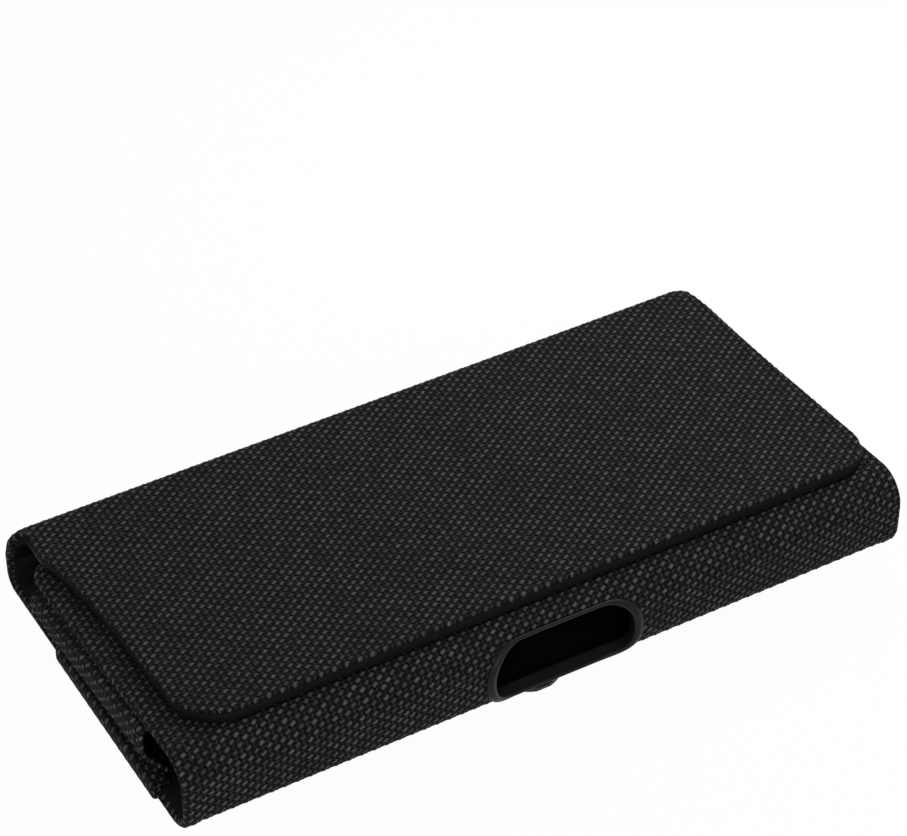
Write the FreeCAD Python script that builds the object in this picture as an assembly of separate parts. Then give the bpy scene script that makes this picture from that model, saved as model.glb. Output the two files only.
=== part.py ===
import FreeCAD, Part
import math
import os

# A belt holster for a phone, lying on its belt loops with the flap closed.
# X runs along the long side, Y from the bottom wall to the fold of the flap, Z up through the flap.
# Sections are drawn with y = 0 on the outside of the bottom wall and z = 0 on the outside of the back.
# Every finished piece is then moved so that the origin lies under the middle of the whole part.

# The pocket, outside sizes
pocket_length = 170.0
pocket_width = 86.0
front_height = 20.2
front_tilt = 5.2
mouth_width = 15.0
bottom_lower_radius = 7.0
bottom_upper_radius = 7.0
back_fold_radius = 4.0
flap_fold_radius = 4.5

# Layers of a pocket wall: woven cover, stiffener sheet, smooth lining
cover_thickness = 0.7
stiffener_thickness = 1.0
lining_thickness = 0.5
hem_width = 1.2
lining_setback = 1.0

# Flap: woven cover on a thicker stiffener, with a smooth facing turned round its edge
flap_stiffener_thickness = 1.2
facing_thickness = 1.0
facing_edge_width = 1.2
facing_edge_proud = 0.3
flap_edge_y = 7.3
flap_inset_left = 5.7
flap_inset_right = 1.5
flap_flare_length = 44.0
flap_corner_radius = 11.0

# Clearances
flap_seat_gap = 0.3
fold_gap = 0.3

# Slot in the bottom wall, with its smooth raised rim
slot_length = 33.0
slot_low_z = 1.9
slot_high_z = 17.0
slot_corner_radius = 7.4
slot_offset_x = 1.5
rim_sleeve = 0.9
rim_flange_x = 2.4
rim_flange_z = 0.95
rim_proud = 0.8

# Side tabs that join the front panel to the back at each end
tab_near_y = 16.5
tab_far_margin = 17.5
tab_thickness = 1.0
tab_top_leg = 9.0
tab_foot_leg = 8.0
tab_foot_inset = 4.2
tab_bulge = 1.6
tab_bulge_height = 6.0
tab_bend_radius = 1.8
tab_bulge_radius = 4.0

# Woven binding folded round the end edge of the back
binding_near_y = 14.0
binding_far_margin = 26.0
binding_thickness = 0.9
binding_inner_leg = 3.0
binding_outer_leg = 4.0

# Belt loops sewn to the back
belt_gap = 5.0
loop_thickness = 1.5
loop_width = 33.5
loop_outer_inset = 5.5
loop_low_y = 10.0
loop_high_margin = 12.0
loop_sewn_length = 8.0
loop_ramp_length = 5.5
loop_bend_radius = 3.0

# Spring steel belt clip between the loops
clip_thickness = 1.0
clip_width = 16.0
clip_offset_x = 1.0
clip_fold_clearance = 2.5
clip_leg_length = 23.5
clip_bend_radius = 2.6
clip_tip_y = 7.1
clip_tip_radius = 7.9
clip_flare_length = 10.4
clip_dip_length = 8.5
clip_dip_height = 2.7
clip_dip_radius = 6.0

# Rivets of the clip and the plate that they are set on
rivet_bend_margin = 8.5
rivet_pitch = 9.5
rivet_shank_diameter = 2.6
rivet_head_diameter = 5.4
rivet_crown_diameter = 3.8
rivet_head_height = 0.9
backing_plate_thickness = 0.6
backing_plate_margin = 3.0

# Hidden magnetic closure
magnet_diameter = 12.0
catch_diameter = 14.0
magnet_pair_width = 90.0
magnet_edge_inset = 13.7

# Derived values
wall = cover_thickness + stiffener_thickness + lining_thickness
board_depth = cover_thickness + stiffener_thickness
flap_board_depth = cover_thickness + flap_stiffener_thickness
flap_thickness = flap_board_depth + facing_thickness
half_length = pocket_length / 2
tilt = math.radians(front_tilt)
stand_off = belt_gap + loop_thickness
middle_y = (pocket_width - rim_proud) / 2
front_reach = pocket_width - mouth_width
flap_flare_start_y = pocket_width - flap_flare_length
tab_far_y = pocket_width - tab_far_margin
binding_far_y = pocket_width - binding_far_margin
loop_high_y = pocket_width - loop_high_margin
clip_bend_y = pocket_width - back_fold_radius - clip_fold_clearance
clip_leg_y = clip_bend_y - clip_leg_length
rivet_low_y = clip_bend_y - rivet_bend_margin - rivet_pitch
magnet_y = flap_edge_y + magnet_edge_inset
flap_height = front_height + (flap_seat_gap + flap_thickness) / math.cos(tilt)


def front_z(y):
    """Height of the outside of the front panel."""
    return front_height - math.tan(tilt) * y


def flap_z(y):
    """Height of the outside of the closed flap."""
    return flap_height - math.tan(tilt) * y


def flat(u, v):
    """A point of a flat section."""
    return FreeCAD.Vector(u, v, 0)


def across_x(point):
    """Stands a section up in the YZ plane."""
    return FreeCAD.Vector(0, point.x, point.y)


def across_y(point):
    """Stands a section up in the XZ plane."""
    return FreeCAD.Vector(point.x, 0, point.y)


def in_plan(point):
    """Leaves a section in the XY plane."""
    return FreeCAD.Vector(point.x, point.y, 0)


def heading(start, end):
    """Unit vector from start to end."""
    way = end - start
    return way / way.Length


def left_of(way):
    """Unit vector to the left of a heading."""
    return FreeCAD.Vector(-way.y, way.x, 0)


def beside(points, distance):
    """The corners of a path moved to its left, each run staying parallel to the old one."""
    moved = [points[0] + left_of(heading(points[0], points[1])) * distance]
    for before, corner, after in zip(points, points[1:], points[2:]):
        side_in = left_of(heading(before, corner))
        side_out = left_of(heading(corner, after))
        moved.append(corner + (side_in + side_out) * (distance / (1 + side_in.dot(side_out))))
    moved.append(points[-1] + left_of(heading(points[-2], points[-1])) * distance)
    return moved


def turn_side(before, corner, after):
    """One at a left turn and minus one at a right turn."""
    way_in = heading(before, corner)
    way_out = heading(corner, after)
    return math.copysign(1, way_in.cross(way_out).z)


def corner_arc(before, corner, after, radius):
    """Start, middle and end of the round of one corner."""
    way_in = heading(before, corner)
    way_out = heading(corner, after)
    turn = way_in.getAngle(way_out)
    cut_back = radius * math.tan(turn / 2)
    start = corner - way_in * cut_back
    end = corner + way_out * cut_back
    centre = start + left_of(way_in) * (radius * turn_side(before, corner, after))
    middle = centre + heading(centre, corner) * radius
    return start, middle, end


def rounded_path(points, radii, stand):
    """Edges of a path whose inner corners are rounded, a radius of zero leaving a corner sharp."""
    edges = []
    pen = points[0]
    for before, corner, after, radius in zip(points, points[1:], points[2:], radii):
        if radius > 0:
            start, middle, end = corner_arc(before, corner, after, radius)
            edges.append(Part.makeLine(stand(pen), stand(start)))
            edges.append(Part.Arc(stand(start), stand(middle), stand(end)).toShape())
            pen = end
        else:
            edges.append(Part.makeLine(stand(pen), stand(corner)))
            pen = corner
    edges.append(Part.makeLine(stand(pen), stand(points[-1])))
    return edges


def strip_wire(points, radii, near, far, stand):
    """Outline of a sheet that follows a path, between two distances to the left of the path."""
    sides = []
    for distance in (near, far):
        corners = beside(points, distance)
        kept = []
        for before, corner, after, radius in zip(points, points[1:], points[2:], radii):
            kept.append(max(radius - turn_side(before, corner, after) * distance, 0))
        sides.append((corners, rounded_path(corners, kept, stand)))
    (near_corners, near_edges), (far_corners, far_edges) = sides
    end_cap = Part.makeLine(stand(near_corners[-1]), stand(far_corners[-1]))
    start_cap = Part.makeLine(stand(far_corners[0]), stand(near_corners[0]))
    return Part.Wire(Part.__sortEdges__(near_edges + [end_cap] + far_edges + [start_cap]))


def sheet_along_x(points, radii, near, far, low_x, high_x):
    """A folded sheet whose section lies in the YZ plane."""
    face = Part.Face(strip_wire(points, radii, near, far, across_x))
    face.translate(FreeCAD.Vector(low_x, 0, 0))
    return face.extrude(FreeCAD.Vector(high_x - low_x, 0, 0))


def sheet_along_y(points, radii, near, far, low_y, high_y):
    """A folded sheet whose section lies in the XZ plane."""
    face = Part.Face(strip_wire(points, radii, near, far, across_y))
    face.translate(FreeCAD.Vector(0, low_y, 0))
    return face.extrude(FreeCAD.Vector(0, high_y - low_y, 0))


def fold_middle(before, corner, after, radius):
    """Middle of a fold's outside round, and the heading of the sheet there."""
    start, middle, end = corner_arc(before, corner, after, radius)
    return middle, heading(start, end)


def trim_tool(point, way):
    """A block that starts half a fold gap before a point of a fold, and reaches on along the sheet."""
    reach = 4 * max(back_fold_radius, flap_fold_radius, wall)
    block = Part.makeBox(2 * pocket_length, reach, reach)
    block.translate(FreeCAD.Vector(-pocket_length, -fold_gap / 2, -reach / 2))
    block.rotate(FreeCAD.Vector(0, 0, 0), FreeCAD.Vector(1, 0, 0), math.degrees(math.atan2(way.y, way.x)))
    block.translate(across_x(point))
    return block


def rounded_box_wire(low_u, high_u, low_v, high_v, radius, stand):
    """A rectangle with four round corners."""
    middle_u = (low_u + high_u) / 2
    points = [flat(middle_u, low_v), flat(high_u, low_v), flat(high_u, high_v), flat(low_u, high_v),
              flat(low_u, low_v), flat(middle_u, low_v)]
    return Part.Wire(Part.__sortEdges__(rounded_path(points, [radius] * 4, stand)))


def disc_under_front(x, y, diameter, height, thickness):
    """A disc square to the front panel, starting at a height over the panel's outside."""
    upward = FreeCAD.Vector(0, math.sin(tilt), math.cos(tilt))
    foot = FreeCAD.Vector(x, y, front_z(y)) + upward * height
    return Part.makeCylinder(diameter / 2, thickness, foot, upward)


# Corners of the folded sheets, seen from the left end
front_edge = flat(front_reach, front_z(front_reach))
upper_bottom = flat(0, front_height)
lower_bottom = flat(0, 0)
lower_spine = flat(pocket_width, 0)
upper_spine = flat(pocket_width, flap_z(pocket_width))
past_flap_edge = flat(flap_edge_y - flap_thickness, flap_z(flap_edge_y - flap_thickness))

# Each sheet is drawn a little past its fold, and trimmed in the middle of the fold afterwards
back_overrun = 2 * back_fold_radius
flap_overrun = 2 * flap_fold_radius
past_back_fold = lower_spine + flat(0, back_overrun)
before_back_fold = lower_spine - flat(back_overrun, 0)
past_flap_fold = upper_spine + heading(upper_spine, past_flap_edge) * flap_overrun
before_flap_fold = upper_spine - flat(0, flap_overrun)

pocket_path = [front_edge, upper_bottom, lower_bottom, lower_spine, past_back_fold]
pocket_radii = [bottom_upper_radius, bottom_lower_radius, back_fold_radius]
spine_path = [before_back_fold, lower_spine, upper_spine, past_flap_fold]
spine_radii = [back_fold_radius, flap_fold_radius]
flap_path = [before_flap_fold, upper_spine, past_flap_edge]
flap_radii = [flap_fold_radius]

back_fold, back_fold_way = fold_middle(lower_bottom, lower_spine, upper_spine, back_fold_radius)
flap_fold, flap_fold_way = fold_middle(lower_spine, upper_spine, past_flap_edge, flap_fold_radius)


def pocket_sheet(near, far, half):
    """One layer of the pocket, from the front panel's edge round to the back fold."""
    sheet = sheet_along_x(pocket_path, pocket_radii, near, far, -half, half)
    return sheet.cut(trim_tool(back_fold, back_fold_way))


def spine_sheet(near, far, low_x, high_x):
    """One layer of the spine, between the two folds."""
    sheet = sheet_along_x(spine_path, spine_radii, near, far, low_x, high_x)
    return sheet.cut([trim_tool(back_fold, back_fold_way * -1), trim_tool(flap_fold, flap_fold_way)])


def end_hems(sheet_maker, half):
    """The cover turned round the edges of the stiffener at both ends."""
    left = sheet_maker(-half, hem_width - half)
    right = sheet_maker(half - hem_width, half)
    return left.fuse(right)


def slot_block(grow_x, grow_z):
    """The slot's outline, grown by a margin, standing right through the bottom wall."""
    half = slot_length / 2 + grow_x
    radius = slot_corner_radius + min(grow_x, grow_z)
    wire = rounded_box_wire(slot_offset_x - half, slot_offset_x + half, slot_low_z - grow_z,
                            slot_high_z + grow_z, radius, across_y)
    face = Part.Face(wire)
    face.translate(FreeCAD.Vector(0, -2 * rim_proud, 0))
    depth = 2 * rim_proud + max(bottom_lower_radius, wall + bottom_upper_radius / 2)
    return face.extrude(FreeCAD.Vector(0, depth, 0))


def flap_outline(inset):
    """Plan of the flap: straight sides near the free edge, flaring to full width at the spine."""
    low_y = flap_edge_y + inset
    rise = pocket_width - flap_flare_start_y
    sides = []
    for side, taper in ((-1, flap_inset_left), (1, flap_inset_right)):
        straight_x = side * (half_length - taper - inset)
        radius = (rise ** 2 + taper ** 2) / (2 * taper)
        half_turn = math.asin(rise / radius) / 2
        flare_x = straight_x + side * radius * (1 - math.cos(half_turn))
        flare_y = flap_flare_start_y + radius * math.sin(half_turn)
        foot = flat(straight_x, flap_flare_start_y)
        top = flat(side * (half_length - inset), pocket_width)
        flare = Part.Arc(in_plan(foot), in_plan(flat(flare_x, flare_y)), in_plan(top)).toShape()
        sides.append((foot, top, flare))
    (left_foot, left_top, left_flare), (right_foot, right_top, right_flare) = sides
    corners = [left_foot, flat(left_foot.x, low_y), flat(right_foot.x, low_y), right_foot]
    edges = rounded_path(corners, [flap_corner_radius - inset] * 2, in_plan)
    edges += [left_flare, right_flare, Part.makeLine(in_plan(left_top), in_plan(right_top))]
    return Part.Face(Part.Wire(Part.__sortEdges__(edges)))


def flap_layer(near, far, inset):
    """One layer of the flap, cut to its plan."""
    sheet = sheet_along_x(flap_path, flap_radii, near, far, -half_length, half_length)
    sheet = sheet.cut(trim_tool(flap_fold, flap_fold_way * -1))
    plan = flap_outline(inset).extrude(FreeCAD.Vector(0, 0, 2 * flap_height))
    return sheet.common(plan)


pieces = {}


def build_pocket():
    """Cover, stiffener and lining of the pocket, open at the slot."""
    hole = slot_block(rim_sleeve, rim_sleeve)
    outer = pocket_sheet(0, cover_thickness, half_length)
    full = pocket_sheet(0, board_depth, half_length)
    inside = Part.makeBox(2 * (half_length - hem_width), 2 * pocket_width, 4 * front_height)
    inside.translate(FreeCAD.Vector(hem_width - half_length, -pocket_width, -front_height))
    end_hem = full.cut(inside)
    hem_path = [front_edge, front_edge + heading(front_edge, upper_bottom) * hem_width]
    front_hem = sheet_along_x(hem_path, [], 0, board_depth, -half_length, half_length)
    pieces["pocket_cover"] = outer.fuse([end_hem, front_hem]).cut(hole).removeSplitter()
    board = pocket_sheet(cover_thickness, board_depth, half_length - hem_width)
    pieces["pocket_stiffener"] = board.cut([front_hem, hole])
    lining = pocket_sheet(board_depth, wall, half_length - lining_setback)
    pieces["pocket_lining"] = lining.cut(hole)


def build_slot_rim():
    """Smooth moulded rim: a sleeve through the wall under a raised flange."""
    opening = slot_block(0, 0)
    sleeve = pocket_sheet(-rim_proud, wall, half_length).common(slot_block(rim_sleeve, rim_sleeve))
    flange = pocket_sheet(-rim_proud, 0, half_length).common(slot_block(rim_flange_x, rim_flange_z))
    pieces["slot_rim"] = sleeve.fuse(flange).cut(opening).removeSplitter()


def build_spine():
    """Cover, stiffener and lining of the spine, a body of its own between two folds."""
    cover = spine_sheet(0, cover_thickness, -half_length, half_length)
    hems = end_hems(lambda low, high: spine_sheet(0, board_depth, low, high), half_length)
    pieces["spine_cover"] = cover.fuse(hems).removeSplitter()
    inner_half = half_length - hem_width
    pieces["spine_stiffener"] = spine_sheet(cover_thickness, board_depth, -inner_half, inner_half)
    lining_half = half_length - lining_setback
    pieces["spine_lining"] = spine_sheet(board_depth, wall, -lining_half, lining_half)


def build_flap():
    """Woven cover, stiffener and the smooth facing whose turned edge shows as a band."""
    pieces["flap_cover"] = flap_layer(0, cover_thickness, facing_edge_proud)
    board = flap_layer(cover_thickness, flap_board_depth, facing_edge_width)
    facing = flap_layer(cover_thickness, flap_thickness, 0).cut(board)
    magnets = []
    seat = flap_seat_gap + facing_thickness
    for side, name in ((-1, "flap_magnet_left"), (1, "flap_magnet_right")):
        magnet = disc_under_front(side * magnet_pair_width / 2, magnet_y, magnet_diameter, seat,
                                  flap_stiffener_thickness)
        pieces[name] = magnet
        magnets.append(magnet)
    pieces["flap_stiffener"] = board.cut(magnets)
    pieces["flap_facing"] = facing


def build_catch_plates():
    """Steel discs in the front panel that the flap's magnets hold to."""
    for side, name in ((-1, "catch_plate_left"), (1, "catch_plate_right")):
        plate = disc_under_front(side * magnet_pair_width / 2, magnet_y, catch_diameter, -board_depth,
                                 stiffener_thickness)
        pieces["pocket_stiffener"] = pieces["pocket_stiffener"].cut(plate)
        pieces[name] = plate


def build_side_tabs():
    """Fabric tabs that close the middle of each end: foot on the lining, bowed wall, leg under the front."""
    half = tab_thickness / 2
    foot_z = wall + half
    foot_x = half_length - tab_foot_inset
    bulge_x = half_length + tab_bulge - half
    inner_top = front_height - wall / math.cos(tilt)
    above_front = Part.makeBox(2 * pocket_length, 2 * pocket_width, front_height)
    above_front.translate(FreeCAD.Vector(-pocket_length, 0, 0))
    for side, name in ((-1, "side_tab_left"), (1, "side_tab_right")):
        points = [flat(side * (foot_x - tab_foot_leg), foot_z), flat(side * foot_x, foot_z),
                  flat(side * bulge_x, foot_z + tab_bulge_height), flat(side * bulge_x, front_height)]
        body = sheet_along_y(points, [tab_bend_radius, tab_bulge_radius], -half, half, tab_near_y, tab_far_y)
        low_x = min(side * (half_length - tab_top_leg), side * bulge_x)
        leg = Part.makeBox(tab_top_leg + tab_bulge - half, 2 * pocket_width, tab_thickness)
        leg.translate(FreeCAD.Vector(low_x, 0, -tab_thickness))
        roof = above_front.copy()
        for tilted in (leg, roof):
            tilted.rotate(FreeCAD.Vector(0, 0, 0), FreeCAD.Vector(1, 0, 0), -front_tilt)
            tilted.translate(FreeCAD.Vector(0, 0, inner_top))
        between = Part.makeBox(2 * pocket_length, tab_far_y - tab_near_y, 2 * front_height)
        between.translate(FreeCAD.Vector(-pocket_length, tab_near_y, 0))
        pieces[name] = body.cut(roof).fuse(leg.common(between)).removeSplitter()


def build_bindings():
    """Woven strips folded round the end edges of the back."""
    half = binding_thickness / 2
    outer_x = half_length + half
    for side, name in ((-1, "edge_binding_left"), (1, "edge_binding_right")):
        points = [flat(side * (half_length - binding_inner_leg), wall + half), flat(side * outer_x, wall + half),
                  flat(side * outer_x, -half), flat(side * (half_length - binding_outer_leg), -half)]
        pieces[name] = sheet_along_y(points, [half, half], -half, half, binding_near_y, binding_far_y)


def build_belt_loops():
    """Straps sewn flat at both ends and standing off the back between them."""
    half = loop_thickness / 2
    sewn_z = -half
    raised_z = -belt_gap - half
    points = [flat(loop_low_y, sewn_z), flat(loop_low_y + loop_sewn_length, sewn_z),
              flat(loop_low_y + loop_sewn_length + loop_ramp_length, raised_z),
              flat(loop_high_y - loop_sewn_length - loop_ramp_length, raised_z),
              flat(loop_high_y - loop_sewn_length, sewn_z), flat(loop_high_y, sewn_z)]
    outer_x = half_length - loop_outer_inset
    inner_x = outer_x - loop_width
    bends = [loop_bend_radius] * 4
    pieces["belt_loop_left"] = sheet_along_x(points, bends, -half, half, -outer_x, -inner_x)
    pieces["belt_loop_right"] = sheet_along_x(points, bends, -half, half, inner_x, outer_x)


def clip_blank():
    """The bent spring strip: leg on the back, tight bend, tongue, dip and flared tip."""
    half = clip_thickness / 2
    leg_z = -half
    tongue_z = half - stand_off
    dip_y = clip_tip_y + clip_flare_length
    points = [flat(clip_leg_y, leg_z), flat(clip_bend_y - half, leg_z), flat(clip_bend_y - half, tongue_z),
              flat(dip_y + clip_dip_length, tongue_z), flat(dip_y, tongue_z + clip_dip_height),
              flat(clip_tip_y, tongue_z)]
    bends = [clip_bend_radius, clip_bend_radius, clip_dip_radius, clip_dip_radius]
    half_width = clip_width / 2
    return sheet_along_x(points, bends, -half, half, clip_offset_x - half_width, clip_offset_x + half_width)


def build_clip():
    """Belt clip with a round tip, two rivets and the plate inside the back."""
    half_width = clip_width / 2
    plan = rounded_box_wire(clip_offset_x - half_width, clip_offset_x + half_width, clip_tip_y,
                            clip_bend_y + clip_width, clip_tip_radius, in_plan)
    tongue_room = Part.Face(plan).extrude(FreeCAD.Vector(0, 0, -2 * stand_off))
    tongue_room.translate(FreeCAD.Vector(0, 0, stand_off))
    clip = clip_blank().common(tongue_room)

    plate_low = rivet_low_y - backing_plate_margin
    plate_length = rivet_pitch + 2 * backing_plate_margin
    plate = Part.makeBox(clip_width, plate_length, backing_plate_thickness)
    plate.translate(FreeCAD.Vector(clip_offset_x - half_width, plate_low, board_depth - backing_plate_thickness))
    upright = [edge for edge in plate.Edges if edge.BoundBox.ZLength > backing_plate_thickness / 2]
    plate = plate.makeFillet(backing_plate_margin / 2, upright)
    pieces["pocket_stiffener"] = pieces["pocket_stiffener"].cut(plate)

    head_radius = rivet_head_diameter / 2
    crown_radius = rivet_crown_diameter / 2
    for index, name in enumerate(("clip_rivet_lower", "clip_rivet_upper")):
        centre = FreeCAD.Vector(clip_offset_x, rivet_low_y + index * rivet_pitch, -clip_thickness)
        shank = Part.makeCylinder(rivet_shank_diameter / 2, clip_thickness + board_depth, centre)
        head = Part.makeCone(head_radius, crown_radius, rivet_head_height, centre, FreeCAD.Vector(0, 0, -1))
        pieces[name] = head.fuse(shank)
        clip = clip.cut(shank)
        plate = plate.cut(shank)
        for layer in ("pocket_cover", "pocket_stiffener"):
            pieces[layer] = pieces[layer].cut(shank)
    pieces["belt_clip"] = clip
    pieces["clip_backing_plate"] = plate


def write_pieces():
    """Moves every piece to the part's own frame, checks it and writes it."""
    os.makedirs("parts", exist_ok=True)
    shift = FreeCAD.Vector(0, -middle_y, stand_off)
    for name, piece in sorted(pieces.items()):
        shape = piece.copy()
        shape.translate(shift)
        solids = shape.Solids
        whole = solids[0] if len(solids) == 1 else Part.makeCompound(solids)
        whole.exportStep(os.path.join("parts", name + ".step"))
        box = whole.BoundBox
        print(f"{name:20s} solids {len(solids)} valid {whole.isValid()} volume {whole.Volume:9.1f} "
              f"x {box.XMin:7.2f} {box.XMax:7.2f} y {box.YMin:7.2f} {box.YMax:7.2f} "
              f"z {box.ZMin:6.2f} {box.ZMax:6.2f}")
    for name, point in (("back fold", back_fold), ("flap fold", flap_fold)):
        place = across_x(point) + shift
        print(f"{name} axis y {place.y:.4f} z {place.z:.4f}")


build_pocket()
build_slot_rim()
build_spine()
build_flap()
build_catch_plates()
build_side_tabs()
build_bindings()
build_belt_loops()
build_clip()
write_pieces()
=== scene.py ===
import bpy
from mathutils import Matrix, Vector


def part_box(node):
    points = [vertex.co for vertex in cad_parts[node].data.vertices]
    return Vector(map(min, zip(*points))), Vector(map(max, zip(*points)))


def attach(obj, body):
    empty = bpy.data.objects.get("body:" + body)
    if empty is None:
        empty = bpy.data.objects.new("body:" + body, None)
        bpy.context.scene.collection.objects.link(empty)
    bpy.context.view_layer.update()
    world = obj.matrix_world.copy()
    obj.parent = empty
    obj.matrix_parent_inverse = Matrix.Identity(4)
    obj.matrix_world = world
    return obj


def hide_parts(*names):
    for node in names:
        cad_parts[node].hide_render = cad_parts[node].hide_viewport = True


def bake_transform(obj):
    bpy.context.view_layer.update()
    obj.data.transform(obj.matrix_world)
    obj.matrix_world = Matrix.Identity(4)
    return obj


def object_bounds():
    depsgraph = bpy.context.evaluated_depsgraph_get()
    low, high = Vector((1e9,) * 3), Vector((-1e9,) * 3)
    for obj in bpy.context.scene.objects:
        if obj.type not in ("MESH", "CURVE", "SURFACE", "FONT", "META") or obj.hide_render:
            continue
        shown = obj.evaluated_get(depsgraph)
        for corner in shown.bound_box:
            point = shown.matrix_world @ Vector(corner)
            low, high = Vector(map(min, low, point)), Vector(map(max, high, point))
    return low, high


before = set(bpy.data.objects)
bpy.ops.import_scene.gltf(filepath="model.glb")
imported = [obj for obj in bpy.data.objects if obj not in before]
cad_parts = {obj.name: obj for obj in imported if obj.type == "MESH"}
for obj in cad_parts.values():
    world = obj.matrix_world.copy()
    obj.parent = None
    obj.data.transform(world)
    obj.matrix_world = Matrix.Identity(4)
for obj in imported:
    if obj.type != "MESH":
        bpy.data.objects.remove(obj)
cad_low, cad_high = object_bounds()

# %% [markdown]
# A woven belt holster, cut flat and folded
#
# The real pouch starts as flat things on a table: cloth, board, smooth film and strap. They are cut,
# sewn and then folded round a form. It could be modelled folded, face by face, but threads and seams
# would then be hard to place. So this lesson works as the maker does: each piece is made flat with
# bmesh operators, and one function folds it at the end. The flat place of each point is also its UV,
# so that the weave follows the cloth round every fold.

# %% Tools of the lesson
import math

import bmesh
import bpy
from mathutils import Matrix, Vector

mm = 0.001
# Points closer than this count as one.
tiny = 0.0001 * mm
print("one millimetre is", mm, "of Blender's metres")

# %% [markdown]
# Sizes
#
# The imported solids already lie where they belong, so the outside faces of pocket, spine and flap are
# read from them. Only the layers and the rounds of the folds are named again here, in millimetres
# times mm. The outside sizes could be typed as well, but then a changed part would outgrow its cloth.

# %% Faces, folds and layers
pocket_low, pocket_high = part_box("pocket_cover")
flap_low, flap_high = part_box("flap_cover")

half_length = pocket_high.x
bottom_y = pocket_low.y
back_z = pocket_low.z
spine_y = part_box("spine_cover")[1].y

cover = 0.7 * mm
board = 1.0 * mm
lining = 0.5 * mm
wall = cover + board + lining
flap_board = 1.2 * mm
facing = 1.0 * mm
flap_wall = cover + flap_board + facing
flap_seat_gap = 0.3 * mm

tilt = math.radians(5.2)
front_reach = 75 * mm
lower_round = 7 * mm
upper_round = 7 * mm
back_round = 4 * mm
flap_round = 4.5 * mm


def flap_z(y):
    """Height of the outside of the closed flap."""
    return flap_high.z - math.tan(tilt) * (y - flap_low.y)


def front_z(y):
    """Height of the outside of the front panel, under the flap."""
    return flap_z(y) - (flap_seat_gap + flap_wall) / math.cos(tilt)


print(f"half length {half_length / mm:.1f}, back at z {back_z / mm:.1f}, spine at y {spine_y / mm:.1f} mm")

# %% [markdown]
# Folding
#
# Seen from the side, a folded sheet is a path of straight runs and round turns. The path is kept as
# runs: a length, where it starts, its heading, and how much it curls per metre. A flat point then goes
# to its place along the path, and as far out from it as it lay above the table. A modifier could bend
# a sheet too, but one bend at a time, and it would not keep lengths true.


# %% A path of runs and turns
def turned_left(way):
    """The unit vector to the left of a heading."""
    return Vector((-way.y, way.x))


def folded_path(corners, radii):
    """The runs of a path whose inner corners are rounded."""
    runs = []
    pen = corners[0]
    for before, corner, after, radius in zip(corners, corners[1:], corners[2:], radii):
        way_in = (corner - before).normalized()
        way_out = (after - corner).normalized()
        turn = math.atan2(way_in.cross(way_out), way_in.dot(way_out))
        cut_back = radius * math.tan(abs(turn) / 2)
        start = corner - way_in * cut_back
        runs.append(((start - pen).length, pen, way_in, 0.0))
        runs.append((radius * abs(turn), start, way_in, math.copysign(1 / radius, turn)))
        pen = corner + way_out * cut_back
    last = corners[-1] - pen
    runs.append((last.length, pen, last.normalized(), 0.0))
    return runs


def path_length(runs):
    """How long the sheet is."""
    return sum(run[0] for run in runs)


right_angle = folded_path([Vector((0, 0)), Vector((1, 0)), Vector((1, 1))], [0.5])
print("a rounded right angle has", len(right_angle), "runs")


# %% Places along a path
def along(runs, distance, rise):
    """The point at a distance along the path, raised to the right of it, which is the outside."""
    for length, start, way, curl in runs:
        if distance <= length:
            break
        distance -= length
    else:
        distance += length
    angle = curl * distance
    if curl:
        point = start + way * (math.sin(angle) / curl) + turned_left(way) * ((1 - math.cos(angle)) / curl)
    else:
        point = start + way * distance
    ahead = way * math.cos(angle) + turned_left(way) * math.sin(angle)
    return point - turned_left(ahead) * rise


def round_rows(runs, origin, step):
    """Distances at which a plain sheet needs an edge so that it can go round the turns."""
    rows = []
    passed = origin
    for length, start, way, curl in runs:
        if curl:
            count = max(3, round(length / step))
            rows += [passed + length * index / count for index in range(count + 1)]
        passed += length
    return rows


print("the middle of that turn lies at", along(right_angle, path_length(right_angle) / 2, 0).to_tuple(3))

# %% [markdown]
# The section of the pouch
#
# Front panel, bottom wall, back and half of the spine are one sheet, and the flap goes on from there.
# The front panel's free edge is turned under as a hem. The section could be traced as a list of points,
# but a few corners with a radius each give true rounds, and their lengths tell how much cloth it takes.

# %% The paths of the pocket and the flap
turn_in = 0.5 * (cover + board)
hem_leg = 1.0 * mm
edge_ease = 0.3 * mm
front_edge = Vector((bottom_y + front_reach, front_z(bottom_y + front_reach)))
front_way = Vector((math.cos(tilt), -math.sin(tilt)))
under_front = front_edge - Vector((math.sin(tilt), math.cos(tilt))) * (2 * turn_in)
seam_z = 0.5 * (back_z + back_round + flap_z(spine_y) - flap_round)
flap_edge_y = flap_low.y - edge_ease

pocket_corners = [under_front - front_way * (turn_in + hem_leg), under_front, front_edge,
                  Vector((bottom_y, front_z(bottom_y))), Vector((bottom_y, back_z)),
                  Vector((spine_y, back_z)), Vector((spine_y, seam_z))]
pocket_runs = folded_path(pocket_corners, [turn_in, turn_in, upper_round, lower_round, back_round])
flap_corners = [Vector((spine_y, seam_z)), Vector((spine_y, flap_z(spine_y))),
                Vector((flap_edge_y, flap_z(flap_edge_y)))]
flap_runs = folded_path(flap_corners, [flap_round])

panel_start = path_length(pocket_runs[:4])
top_of_wall = path_length(pocket_runs[:5])
foot_of_wall = path_length(pocket_runs[:8])
pocket_end = path_length(pocket_runs)
cloth_end = pocket_end + path_length(flap_runs)
fold_over = pocket_end + flap_runs[0][0] + flap_runs[1][0]
print(f"the cloth is {cloth_end / mm:.1f} mm long, and its spine seam lies at {pocket_end / mm:.1f} mm")

# %% [markdown]
# The hem at each end
#
# The woven cover doesn't stop at the ends of the board: it turns round it. The hem could be a tube set
# against the edge, but then the weave would break there. So a flat point past the end goes round a half
# circle, half as thick as cover and board together, and comes back underneath.


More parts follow.
